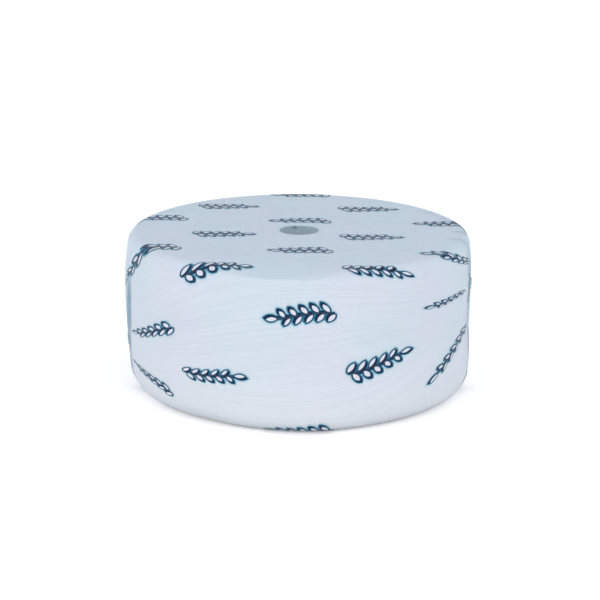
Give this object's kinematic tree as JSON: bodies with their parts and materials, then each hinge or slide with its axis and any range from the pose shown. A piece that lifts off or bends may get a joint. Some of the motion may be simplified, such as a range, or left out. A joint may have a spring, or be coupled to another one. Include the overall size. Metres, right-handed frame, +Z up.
{
  "type": "paper wiper roll",
  "caption": "Large roll of wiping paper standing on end, sealed in printed shrink film drawn round its edges, with its cardboard core showing through as a grey disc.",
  "frame": {"origin": "centre of the underside, on the surface that the roll stands on", "axes": "+Z up along the roll's axis; -Y is the front; the film's end seals are on the -X and +X flanks"},
  "size_m": [0.443, 0.44, 0.2014],
  "materials": {
    "film": "translucent printed shrink film, satin",
    "web": "soft white tissue paper",
    "core": "plain spiral-wound board"
  },
  "bodies": {
    "root": {"film_wrapper": "film", "wiper_web": "web", "core": "core"}
  },
  "joints": []
}
